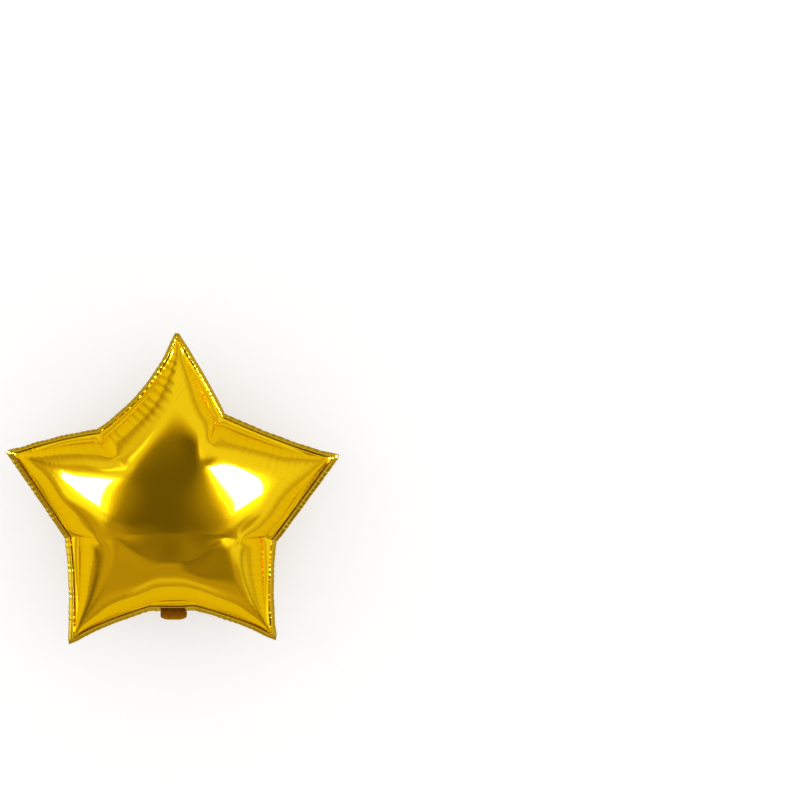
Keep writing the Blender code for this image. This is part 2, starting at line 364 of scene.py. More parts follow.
def flat_pattern(settings):
    """The two flat panels: five grids each, joined along the notch lines, with one shared row of
    points at the seam. Gives the points, with the panel's side as height, and the squares."""
    cells = settings.cells
    corners = corner_places(settings.cut_radius, settings.cut_notch)
    patches = [kite_patch(corners, arm, cells, settings) for arm in range(ARMS)]
    points = np.concatenate([patch.reshape(-1, 2) for patch in patches])
    _, first, same = np.unique(np.round(points * 1e6).astype(np.int64), axis=0,
                               return_index=True, return_inverse=True)
    same = same.ravel()
    row = cells + 1
    border = np.zeros((ARMS, row, row), bool)
    border[:, cells, :] = True
    border[:, :, cells] = True
    seam = np.zeros(len(first), bool)
    seam[same[border.ravel()]] = True

    step, side = np.meshgrid(np.arange(cells), np.arange(cells), indexing="ij")
    square = np.stack([step * row + side, (step + 1) * row + side,
                       (step + 1) * row + side + 1, step * row + side + 1], axis=-1).reshape(-1, 4)
    quads = same[(np.arange(ARMS)[:, None, None] * row * row + square[None]).reshape(-1, 4)]
    flat = points[first]
    inner = np.flatnonzero(~seam)
    back_index = np.arange(len(flat))
    back_index[inner] = len(flat) + np.arange(len(inner))
    front = np.column_stack([flat, np.where(seam, 0.0, 1.0)])
    back = np.column_stack([flat[inner], np.full(len(inner), -1.0)])
    return np.vstack([front, back]), np.vstack([quads, back_index[quads][:, ::-1]])


def new_mesh(name, places, faces):
    """A mesh of these points and faces."""
    mesh = bpy.data.meshes.new(name)
    mesh.from_pydata(places.tolist(), [], faces.tolist())
    mesh.update()
    return mesh


def new_object(name, mesh):
    """An object that shows a mesh, a lamp or a camera, in the scene."""
    made = bpy.data.objects.new(name, mesh)
    bpy.context.scene.collection.objects.link(made)
    return made


def read_places(mesh):
    """The mesh's points, as rows of three."""
    places = np.empty(len(mesh.vertices) * 3, np.float32)
    mesh.vertices.foreach_get("co", places)
    return places.reshape(-1, 3).astype(float)


def evaluated_mesh(piece):
    """The piece's mesh with its modifiers."""
    return piece.evaluated_get(bpy.context.evaluated_depsgraph_get()).data


def remove_piece(piece):
    """Deletes a helper and its mesh."""
    mesh = piece.data
    bpy.data.objects.remove(piece)
    bpy.data.meshes.remove(mesh)


def blow_up(pattern, faces, settings):
    """The flat panels after the gas has pushed them out: Blender's cloth with pressure and no
    gravity, from a flat start with the two sheets a hair apart."""
    start = pattern.copy()
    start[:, 2] *= 0.0004 * (0.5 + np.random.default_rng(GAP_SEED).random(len(start)))
    film = new_object("film_blank", new_mesh("film_blank", start, faces))
    cloth = film.modifiers.new("Cloth", "CLOTH")
    cloth.settings.quality = 8
    cloth.settings.mass = 0.05
    cloth.settings.air_damping = 1.0
    cloth.settings.tension_stiffness = settings.stiffness
    cloth.settings.compression_stiffness = settings.stiffness
    cloth.settings.shear_stiffness = settings.stiffness / 2
    cloth.settings.bending_stiffness = settings.bending
    cloth.settings.use_pressure = True
    cloth.settings.uniform_pressure_force = settings.pressure
    cloth.settings.effector_weights.gravity = 0.0
    cloth.collision_settings.use_collision = False
    cloth.collision_settings.use_self_collision = False
    frames = settings.frames
    scene = bpy.context.scene
    scene.frame_start, scene.frame_end = 1, frames
    cloth.point_cache.frame_start, cloth.point_cache.frame_end = 1, frames
    for step in range(1, frames + 1):
        scene.frame_set(step)
    places = read_places(evaluated_mesh(film))
    remove_piece(film)
    scene.frame_set(1)
    return places


def notch_lines(pattern, blow):
    """How sharp the crease is at each point of the flat pattern: on the straight line from a side
    notch inwards, sharp at the notch and gone at the dimple where it ends."""
    turn, radius = polar_from_notches(pattern)
    side = np.abs(pattern[:, 0]) > 1e-6
    on_line = (np.abs(radius * np.sin(turn)) < 1e-6) & side
    return on_line * smooth_step(blow.dimple_share * blow.cut_notch, blow.cut_notch, radius) ** 0.5


def refine(places, faces, seam, corners, crease):
    """The mesh after two smooth subdivisions that keep the seam and its corners sharp, and the
    creases as sharp as they are given."""
    mesh = new_mesh("film_cage", places, faces)
    sharp_point = mesh.attributes.new("crease_vert", "FLOAT", "POINT")
    sharp_point.data.foreach_set("value", corners.astype(np.float32))
    edges = np.empty(len(mesh.edges) * 2, np.int32)
    mesh.edges.foreach_get("vertices", edges)
    edges = edges.reshape(-1, 2)
    sharp_edge = mesh.attributes.new("crease_edge", "FLOAT", "EDGE")
    on_seam = seam[edges[:, 0]] & seam[edges[:, 1]]
    on_crease = 0.8 * np.minimum(crease[edges[:, 0]], crease[edges[:, 1]])
    sharp_edge.data.foreach_set("value", np.where(on_seam, 1.0, on_crease).astype(np.float32))
    cage = new_object("film_cage", mesh)
    smooth = cage.modifiers.new("Smooth", "SUBSURF")
    smooth.levels = smooth.render_levels = 2
    fine = evaluated_mesh(cage)
    fine_places = read_places(fine)
    loops = np.empty(len(fine.loops), np.int32)
    fine.loops.foreach_get("vertex_index", loops)
    remove_piece(cage)
    return fine_places, loops.reshape(-1, 4)


def polar_from_notches(points):
    """The turn of each point of the flat pattern from the nearest notch's line, and its reach."""
    turn = (np.arctan2(points[:, 1], points[:, 0]) - math.pi / 2) % (2 * HALF_ARM) - HALF_ARM
    return turn, np.hypot(points[:, 0], points[:, 1])


def point_normals(places, quads):
    """Each point's normal: the sum of the cross products of the diagonals of its squares."""
    a, b, c, d = (places[quads[:, corner]] for corner in range(4))
    cross = np.cross(c - a, d - b)
    normals = np.zeros_like(places)
    for corner in range(4):
        np.add.at(normals, quads[:, corner], cross)
    return normals / np.maximum(np.linalg.norm(normals, axis=1), 1e-12)[:, None]


def edge_coordinates(flat, settings):
    """For each point of the flat pattern: its nearest edge, 0 to 9 from the top tip on, its
    distance along that edge from the tip, and its distance in from the seam."""
    angle = np.arctan2(flat[:, 1], flat[:, 0]) - math.pi / 2
    arm = np.round(angle / (2 * HALF_ARM))
    local = angle - arm * 2 * HALF_ARM
    radius = np.hypot(flat[:, 0], flat[:, 1])
    x, y = radius * np.cos(local), radius * np.abs(np.sin(local))
    notch = settings.cut_notch * np.array([math.cos(HALF_ARM), math.sin(HALF_ARM)])
    run = notch - np.array([settings.cut_radius, 0.0])
    length = np.hypot(*run)
    run = run / length
    along = (x - settings.cut_radius) * run[0] + y * run[1]
    share = np.clip(along / length, 0.0, 1.0)
    bow = settings.cut_bow * length * 4.0 * share * (1.0 - share)
    inward = -((x - settings.cut_radius) * run[1] - y * run[0]) + bow
    edge = (2 * arm + np.where(local < 0.0, -1, 0)).astype(int) % EDGES
    return edge, along, np.maximum(inward, 0.0), length


def wrinkle_wave(edge, along, pitch, seed):
    """A wave along each edge, about as high as 1: four sines of nearby pitches with their own
    phases on each edge, which beat into longer and shorter wrinkles."""
    draw = np.random.default_rng(seed)
    phases = draw.uniform(0.0, 2 * math.pi, (EDGES, 4))
    stretch = draw.uniform(0.75, 1.35, (EDGES, 4))
    wave = np.zeros(len(along))
    for part in range(4):
        wave += np.sin(2 * math.pi * along / (pitch * stretch[edge, part]) + phases[edge, part])
    return wave / 2.2


def thin_plate(source, shift, places, slack):
    """The smoothest field over the plane that gives each source point its shift, to within a
    little slack, read at places: the thin-plate spline, whose kernel is the distance squared
    times its logarithm."""
    def kernel(first, second):
        square = ((first[:, None, :] - second[None, :, :]) ** 2).sum(axis=2)
        return square * np.log(np.maximum(square, 1e-12))

    def plane(points):
        return np.column_stack([np.ones(len(points)), points])

    count = len(source)
    system = np.zeros((count + 3, count + 3))
    system[:count, :count] = kernel(source, source) + slack * np.eye(count)
    system[:count, count:] = plane(source)
    system[count:, :count] = plane(source).T
    weights = np.linalg.solve(system, np.vstack([shift, np.zeros((3, shift.shape[1]))]))
    return kernel(places, source) @ weights[:count] + plane(places) @ weights[count:]


def nearest(flat, allowed, spot):
    """The allowed point of the flat pattern that lies nearest to a spot."""
    return int(np.argmin(np.hypot(*(flat[:, :2] - spot).T) + np.where(allowed, 0.0, 1.0)))


def edge_place(corners, edge, share, sizes):
    """A point of this balloon's weld line, at a share of the way from the edge's tip to its notch:
    on a parabola from corner to corner, or to the end of the level base, and then along it."""
    tip, notch = corners[edge + edge % 2 if edge < EDGES - 1 else 0], corners[edge + 1 - edge % 2]
    side = 1.0 if edge % 2 == 0 else -1.0
    level = 0.0
    base = notch
    if ARMS in (edge, edge + 1):
        base = notch + np.array([-side * sizes.base_width / 2, 0.0])
        level = sizes.base_width / 2 / np.hypot(*(notch - tip))
    run = base - tip
    outward = side * np.array([run[1], -run[0]]) / np.hypot(*run)
    rest = min(share / (1.0 - level), 1.0)
    beyond = max(share - 1.0 + level, 0.0) / level if level else 0.0
    bow = outward * EDGE_BOWS[edge] * 4.0 * rest * (1.0 - rest)
    return tip + run * rest + bow + (notch - base) * beyond


def fit_to_outline(places, flat, sizes, blow):
    """Moves the blown star's seam and its dimples to where they belong, with the seam level, and
    lets the rest of the film follow."""
    seam = np.flatnonzero(np.abs(flat[:, 2]) < 1e-6)
    corners = corner_targets(sizes)
    edges, along, _, length = edge_coordinates(flat[seam], blow)
    spots, targets = [], []
    for edge in range(EDGES):
        for share in SEAM_SHARES[edge % 2:]:
            off = np.abs(along / length - share) + np.where(edges == edge, 0.0, 1.0)
            spots.append(seam[np.argmin(off)])
            targets.append((*edge_place(corners, edge, share, sizes), 0.0))
    front = flat[:, 2] > 0.5
    cut_corners = corner_places(blow.cut_radius, blow.cut_notch)
    for notch, (angle, radius) in zip((1, 3, 7, 9), DIMPLES):
        spots.append(nearest(flat, front, cut_corners[notch] * blow.dimple_share))
        turned = math.radians(angle)
        targets.append((radius * math.cos(turned), radius * math.sin(turned), places[spots[-1], 2]))
    spots.append(nearest(flat, front, np.zeros(2)))
    targets.append((0.0, 0.0, places[spots[-1], 2]))
    shift = np.array(targets) - places[spots]
    return places + thin_plate(places[spots, :2], shift, places[:, :2], blow.fit_slack)


def settle_seam(places, flat, sizes, blow):
    """Lays the weld line exactly on its course. What each of its points still misses by is passed
    on to the film inside it, and dies away within a finger's width."""
    seam = np.abs(flat[:, 2]) < 1e-6
    corners = corner_targets(sizes)
    edge, along, inward, length = edge_coordinates(flat, blow)
    share = along / length
    shift = np.zeros_like(places)
    for number in range(EDGES):
        run = np.flatnonzero(seam & (edge == number))
        run = run[np.argsort(share[run])]
        course = np.array([(*edge_place(corners, number, spot, sizes), 0.0)
                           for spot in np.clip(share[run], 0.0, 1.0)])
        near = edge == number
        for axis in range(3):
            shift[near, axis] = np.interp(share[near], share[run], course[:, axis] - places[run, axis])
    return places + shift * np.exp(-inward / SETTLE_REACH)[:, None]


def calm_notches(places, pattern, faces, blow):
    """Irons out the crumples that the coarse cloth makes round the notches: each point there
    moves towards the mean of its neighbours, several times over. A point of a crease only heeds
    its neighbours in the crease, so the crease stays."""
    pairs = np.unique(np.sort(np.concatenate([faces[:, [0, 1]], faces[:, [1, 2]], faces[:, [2, 3]],
                                              faces[:, [3, 0]]]), axis=1), axis=0)
    pairs = np.vstack([pairs, pairs[:, ::-1]])
    crease = (notch_lines(pattern, blow) > 0.0) | (pattern[:, 2] == 0.0)
    pairs = pairs[~crease[pairs[:, 0]] | crease[pairs[:, 1]]]
    count = np.bincount(pairs[:, 0], minlength=len(places))[:, None]
    weight = np.zeros(len(places))
    for notch in corner_places(blow.cut_radius, blow.cut_notch)[1::2]:
        weight += np.exp(-(np.hypot(*(pattern[:, :2] - notch).T) / blow.calm_reach) ** 2)
    weight = 0.5 * (np.minimum(weight, 1.0) * (pattern[:, 2] != 0.0))[:, None]
    for _ in range(blow.calm_rounds):
        mean = np.zeros_like(places)
        np.add.at(mean, pairs[:, 0], places[pairs[:, 1]])
        places = places + weight * (mean / count - places)
    return places


def facet_lift(inward, facet, sizes):
    """The film pressed flatter beside the seam: a cubic in the share of the facet's width, nought
    at both ends and deepest, by the facet depth, at a third of it."""
    share = np.clip(inward / np.maximum(facet, 1e-4), 0.0, 1.0)
    return -sizes.facet_depth * 6.75 * share * (1.0 - share) ** 2


def gather_lift(inward, broad, middle, sizes):
    """The gathers across the seam: the broad wave, which grows inwards, and the middle one, which
    is highest close to the seam, as the distance times its falling exponential."""
    reach = inward / FINE_GATHERS
    fine = 0.45 * middle * reach * np.exp(1.0 - reach)
    return sizes.gather_depth * (broad * smooth_step(0.0, GATHERS_FULL, inward) + fine)


def notch_lift(flat, sizes, blow):
    """The crease on the line from each side notch to its dimple: a sharp and a broad exponential
    of the distance from that line, fading at both of its ends."""
    turn, radius = polar_from_notches(flat)
    off_line, from_notch = radius * np.abs(np.sin(turn)), blow.cut_notch - radius * np.cos(turn)
    crease = (SHARP_SHARE * np.exp(-off_line / SHARP_WIDTH)
              + (1.0 - SHARP_SHARE) * np.exp(-off_line / BROAD_WIDTH))
    reach = (1.0 - blow.dimple_share) * blow.cut_notch
    crease *= 1.0 - smooth_step(0.65, 1.0, from_notch / reach)
    at_side = 1.0 - (flat[:, 1] < 0.0) * (np.abs(flat[:, 0]) < blow.cut_base)
    return -sizes.notch_depth * crease * smooth_step(-0.002, 0.015, from_notch) * at_side


def lower_fold(places, flat, sizes):
    """The fold between the two lower dimples: a parabola down the height of a lens whose upper
    side is a low arch. Also gives the line of painted shade along that upper side, as a narrow
    bell curve."""
    across = places[:, 0] / FOLD_HALF_SPAN
    arch = 1.0 - across ** 2
    below = FOLD_TOP + FOLD_ARCH * arch - places[:, 1]
    drop = np.clip(below / (FOLD_HEIGHT * np.maximum(arch, 1e-3)), 0.0, 1.0)
    in_fold = (flat[:, 2] > 0.5) * (np.abs(across) < 1.0)
    line = in_fold * np.exp(-(below / FOLD_LINE) ** 2) * arch
    return -sizes.fold_depth * 4.0 * drop * (1.0 - drop) * in_fold, line


def corner_targets(sizes):
    """Where this balloon's own weld corners lie: the regular star's, strayed as it shows."""
    targets = []
    for step in range(ARMS):
        for strays, radius, turn in ((TIP_STRAYS, OUTER_RADIUS - sizes.seam_width, 0.0),
                                     (NOTCH_STRAYS, sizes.notch_radius, HALF_ARM)):
            stray, reach = strays[step]
            angle = math.pi / 2 + 2 * HALF_ARM * step + turn + math.radians(stray)
            targets.append(((radius + reach) * math.cos(angle), (radius + reach) * math.sin(angle)))
    return np.array(targets)


class BALLOON_OT_envelope(bpy.types.Operator):
    """Blow up the two panels, with the crinkled seam round them"""

    bl_idname = "balloon.envelope"
    bl_label = "Panels and seam"

    def execute(self, context):
        sizes, blow = context.scene.balloon_sizes, context.scene.balloon_blow
        pattern, faces = flat_pattern(blow)
        seam = pattern[:, 2] == 0.0
        spots = corner_places(blow.cut_radius, blow.cut_notch)
        corners = [nearest(pattern, seam, spot) for spot in spots]
        corner_mark = np.zeros(len(pattern), bool)
        corner_mark[corners] = True
        blown = blow_up(pattern, faces, blow)
        crease = notch_lines(pattern, blow)
        flat, quads = refine(pattern, faces, seam, corner_mark, crease)
        blown = calm_notches(blown, pattern, faces, blow)
        places, quads = refine(blown, faces, seam, corner_mark, crease)

        half = (FULL_THICKNESS + sizes.rest_flat) / 2
        fine_seam = np.abs(flat[:, 2]) < 1e-6
        reach = np.hypot(*places[[nearest(flat, fine_seam, spot) for spot in spots[::2]], :2].T).mean()
        places[:, :2] *= (OUTER_RADIUS - sizes.seam_width) / reach
        places[:, 2] -= places[fine_seam, 2].mean()
        places[:, 2] *= half / ((places[:, 2].max() - places[:, 2].min()) / 2)
        places = fit_to_outline(places, flat, sizes, blow)
        places = settle_seam(places, flat, sizes, blow)
        places, painted_shade = self.relief(places, quads, flat, sizes, blow)

        places[:, :2] += (STAR_X, STAR_Y)
        places[:, 2] += half - sizes.rest_flat
        places[:, 2] = np.maximum(places[:, 2], 0.0)
        mesh = new_mesh("balloon_panels", places, quads)
        colours = context.scene.balloon_colours
        finish(mesh, foil_material("gold_foil_panels", colours.gold, 1.0), 0.0, painted_shade)
        self.seam_strip(context, places[fine_seam], flat[fine_seam], sizes, blow)
        return {"FINISHED"}

    @staticmethod
    def relief(places, quads, flat, sizes, blow):
        """Moves each point along its normal by the sum of the facets, the gathers, the notch
        creases and the lower fold, and up or down by the seam's ripple, which dies away inwards.
        Also gives the painted shade of each point, from 0 to 1, for its colour: darker in the
        troughs of the gathers, along a row inside some facets, in stripes beside others, along the
        upper side of the lower fold and at the ends of the level base."""
        edge, along, inward, length = edge_coordinates(flat, blow)
        tip_fade = smooth_step(0.0, TIP_FADE, along)
        notch_fade = smooth_step(0.0, NOTCH_FADE, length - along)
        strength = np.array(EDGE_GATHERS)[edge] * tip_fade * notch_fade
        facet = sizes.facet_width * (1.0 - (1.0 - np.clip(along / length, 0.0, 1.0)) ** 2)
        broad = wrinkle_wave(edge, along, sizes.gather_pitch, BROAD_SEED)
        broad = np.tanh(1.6 * broad) * (1.0 - smooth_step(GATHERS_FADE, GATHERS_END, inward))
        middle = wrinkle_wave(edge, along, sizes.gather_pitch * 0.75, MIDDLE_SEED)

        lift = facet_lift(inward, facet, sizes) * tip_fade
        lift += gather_lift(inward, broad, middle, sizes) * strength
        lift += notch_lift(flat, sizes, blow)
        fold, fold_line = lower_fold(places, flat, sizes)
        lift += fold
        moved = places + point_normals(places, quads) * lift[:, None]
        ripple = 0.5 * sizes.seam_ripple * middle * np.exp(-inward / 0.005)
        moved[:, 2] += ripple * tip_fade * notch_fade

        # Painted shade in the troughs of the broad gathers
        painted_shade = 0.7 * strength * np.clip(-broad, 0.0, 1.0) * smooth_step(0.004, 0.020, inward)
        # Painted shade along the upper side of the lower fold
        painted_shade += 0.35 * fold_line
        # Painted shade along a row of gather ends on the inner side of some facets
        row = np.array(EDGE_ROWS)[edge] * np.exp(-((inward - ROW_SHARE * facet) / ROW_WIDTH) ** 2)
        painted_shade += row * np.clip(1.2 * middle, 0.0, 1.0) * smooth_step(0.020, 0.050, along)
        # Painted shade in a stripe beside some facets
        for number, middle_share, width, depth in STRIPES:
            off = (inward - middle_share * facet) / (width * facet + 0.0005)
            ends = smooth_step(0.0, 0.020, along) * notch_fade
            painted_shade += depth * np.exp(-off ** 2) * (edge == number) * ends
        # Painted shade at both ends of the level base, near the seam
        base_end = np.abs(np.abs(flat[:, 0]) - blow.cut_base / 2) / 0.0009
        near_seam = (flat[:, 1] < 0.0) * (1.0 - smooth_step(0.022, 0.032, inward))
        painted_shade += 0.25 * np.exp(-base_end ** 2) * near_seam
        return moved, np.clip(painted_shade, 0.0, 1.0)

    @staticmethod
    def seam_strip(context, weld, flat, sizes, blow):
        """The flat seam outside the weld line: rows of the weld line moved outwards and down by
        equal shares of the seam's lean, each with more of the ripple than the last, and longer
        at the tips, by one over the cosine of the mitre, so that two edges meet in a point."""
        order = np.argsort(np.arctan2(flat[:, 1], flat[:, 0]))
        weld, flat = weld[order], flat[order]
        count = len(weld)
        edge, along, _, length = edge_coordinates(flat, blow)
        ahead = np.roll(weld, -1, axis=0) - np.roll(weld, 1, axis=0)
        ahead = sum(np.roll(ahead, step, axis=0) for step in range(-2, 3))
        outward = np.column_stack([ahead[:, 1], -ahead[:, 0], np.zeros(count)])
        outward /= np.linalg.norm(outward, axis=1)[:, None]
        middle = wrinkle_wave(edge, along, sizes.gather_pitch * 0.75, MIDDLE_SEED)
        tilt = wrinkle_wave(edge, along, sizes.gather_pitch * 4.0, TILT_SEED)
        fade = smooth_step(0.0, 0.012, along) * smooth_step(0.0, 0.010, length - along)
        # Each edge's painted shade on the seam, which also scales the seam's ripples
        turned, shade_and_ripple = np.array(SEAM_LEANS)[edge] + 0.06 * tilt, np.array(SEAM_SHADES_AND_RIPPLES)[edge]
        turned, shade_and_ripple = (sum(np.roll(value, step) for step in range(-8, 9)) / 17.0
                        for value in (turned, shade_and_ripple))
        high = sizes.seam_ripple * fade * (0.4 + shade_and_ripple) * (0.6 * middle + 1.2 * tilt)
        lean = sizes.seam_width * turned
        radial = weld[:, :2] - (STAR_X, STAR_Y)
        aside = (radial * outward[:, :2]).sum(axis=1) / np.hypot(*radial.T)
        aside = np.arccos(np.clip(aside, -1.0, 1.0))
        mitre = np.maximum(MITRE_ANGLE - aside, 0.0) * (along < MITRE_REACH)
        wide = np.sqrt(sizes.seam_width ** 2 - lean ** 2) * (1.0 + 0.04 * middle * fade) / np.cos(mitre)

        rows = np.linspace(0.0, 1.0, 9)
        places, painted_shade = [], []
        for row in rows:
            drop = high * row ** 1.3 - lean * row + 0.0002 * math.sin(3 * math.pi * row)
            places.append(weld + outward * (wide * row)[:, None] + drop[:, None] * (0.0, 0.0, 1.0))
            # Painted shade on the seam, growing from the weld line outwards
            painted_shade.append(shade_and_ripple * (0.8 + 0.2 * middle) * smooth_step(0.1, 0.4, row))
        index = np.arange(count)
        ring = np.stack([index, index + count, (index + 1) % count + count, (index + 1) % count], axis=-1)
        quads = np.concatenate([ring + row * count for row in range(len(rows) - 1)])
        mesh = new_mesh("balloon_seam", np.concatenate(places), quads)
        # The seam's colour is darkened by painted shade: its darker gold and the shade of each row
        colours = context.scene.balloon_colours
        finish(mesh, foil_material("gold_foil_seam", colours.seam_shaded_gold, 2.5), sizes.film,
               np.clip(np.concatenate(painted_shade), 0.0, 1.0))


class BALLOON_OT_neck(bpy.types.Operator):
    """Make the flat neck that is folded down behind the lower notch"""

    bl_idname = "balloon.neck"
    bl_label = "Neck"

    def execute(self, context):
        """Rows across a line that runs straight out, then round an arc and straight down. Each
        row is bent less at its sides, and two sines give the film a slight wave."""
        sizes = context.scene.balloon_sizes
        half = (FULL_THICKNESS + sizes.rest_flat) / 2
        notch = corner_targets(sizes)[ARMS]
        straight, bend = 0.004, math.radians(100)
        across = np.linspace(-1.0, 1.0, 33)[None, :]
        down = np.linspace(0.0, 1.0, 61)[:, None]
        length = down * (sizes.neck_length + straight)
        flat = np.clip(length - straight, 0.0, None)
        turn = np.clip(flat / sizes.neck_bend, 0.0, bend)
        rest = np.clip(flat - sizes.neck_bend * bend, 0.0, None)
        crush = 1.0 - 0.30 * np.abs(across) ** 4
        out = np.minimum(length, straight) + crush * sizes.neck_bend * np.sin(turn) + rest * math.cos(bend)
        low = crush * sizes.neck_bend * (1.0 - np.cos(turn)) + rest * math.sin(bend)
        end = np.clip((length - sizes.neck_length - 0.001) / 0.005, 0.0, 1.0)
        width = sizes.neck_width / 2 * (1.0 - 0.30 * end ** 2)
        crease = 0.0004 * np.sin(9.0 * across + 14.0 * down) * np.sin(math.pi * down)
        beyond, below, droop = 0.0015, 0.0012, 0.15 * np.minimum(length, 0.006)
        x = notch[0] + STAR_X + across * width + 0.0 * down
        y = notch[1] + STAR_Y - out - beyond
        z = half - sizes.rest_flat - low + crease - below - droop
        places = np.stack([x, y, z], axis=-1).reshape(-1, 3)
        rows, columns = x.shape
        row, column = np.meshgrid(np.arange(rows - 1), np.arange(columns - 1), indexing="ij")
        corner = (row * columns + column).ravel()
        quads = np.stack([corner, corner + columns, corner + columns + 1, corner + 1], axis=-1)
        mesh = new_mesh("balloon_neck", places, quads)
        colours = context.scene.balloon_colours
        # The neck's darker gold is painted shade
        finish(mesh, foil_material("gold_foil_neck", colours.neck_shaded_gold, 1.4), sizes.film)
        return {"FINISHED"}


def finish(mesh, material, film, painted_shade=None):
    """Makes a piece of a mesh: smooth, in its material, with the film's thickness where it is open,
    and with the painted shade of each point where that is given. Hangs the piece on its body
    and hides the part that it stands for."""
    mesh.shade_smooth()
    mesh.materials.append(material)
    if painted_shade is not None:
        depth = mesh.attributes.new("painted_shade", "FLOAT", "POINT")
        depth.data.foreach_set("value", painted_shade.astype(np.float32))
    piece = new_object(mesh.name, mesh)
    if film:
        wall = piece.modifiers.new("Film", "SOLIDIFY")
        wall.thickness = film
        wall.offset = 0.0
    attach(piece, BODY)
    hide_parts(NODE)


def new_material(name):
    """An empty node material and the maker of its nodes."""
    material = bpy.data.materials.new(name)
    material.use_nodes = True
    return material, ShadeMaker(material.node_tree)


def foil_material(name, colour, creases):
    """Clear gold lacquer on bright metal film: a metal whose colour and gloss drift slightly and
    whose colour is darkened by the painted shade that the mesh carries, with the faint grain of
    the film as bump and a thin clear coat."""
    material, shade = new_material(name)
    place = shade.node("ShaderNodeTexCoord", output="Object")
    drift = shade.node("ShaderNodeTexNoise", None, {"Vector": place, "Scale": 9.0, "Detail": 2.0}, "Fac")
    grain = shade.node("ShaderNodeTexNoise", None, {"Vector": place, "Scale": 260.0, "Detail": 2.0}, "Fac")
    worn = [channel * 0.93 for channel in colour[:3]] + [1.0]
    # The colour of the painted shade, which the mesh's attribute mixes in
    painted_shade_colour = [channel * share for channel, share in zip(colour[:3], (0.46, 0.44, 0.40))] + [1.0]
    painted_shade = shade.node("ShaderNodeAttribute", {"attribute_name": "painted_shade"}, output="Fac")
    # The lacquer's colour, with the painted shade mixed in
    lacquer = shade.blend(painted_shade, shade.blend(drift, worn, tuple(colour)), painted_shade_colour)
    bump = shade.node("ShaderNodeBump", None, {
        "Strength": 0.06 * creases, "Distance": 0.0004, "Height": grain})
    surface = shade.node("ShaderNodeBsdfPrincipled", None, {
        "Base Color": lacquer, "Metallic": 1.0, "Roughness": 0.055 + 0.03 * drift, "Normal": bump,
        "Specular Tint": (1.0, 0.80, 0.25, 1.0), "Coat Weight": 0.01, "Coat Roughness": 0.05})
    shade.node("ShaderNodeOutputMaterial", None, {"Surface": surface})
    return material


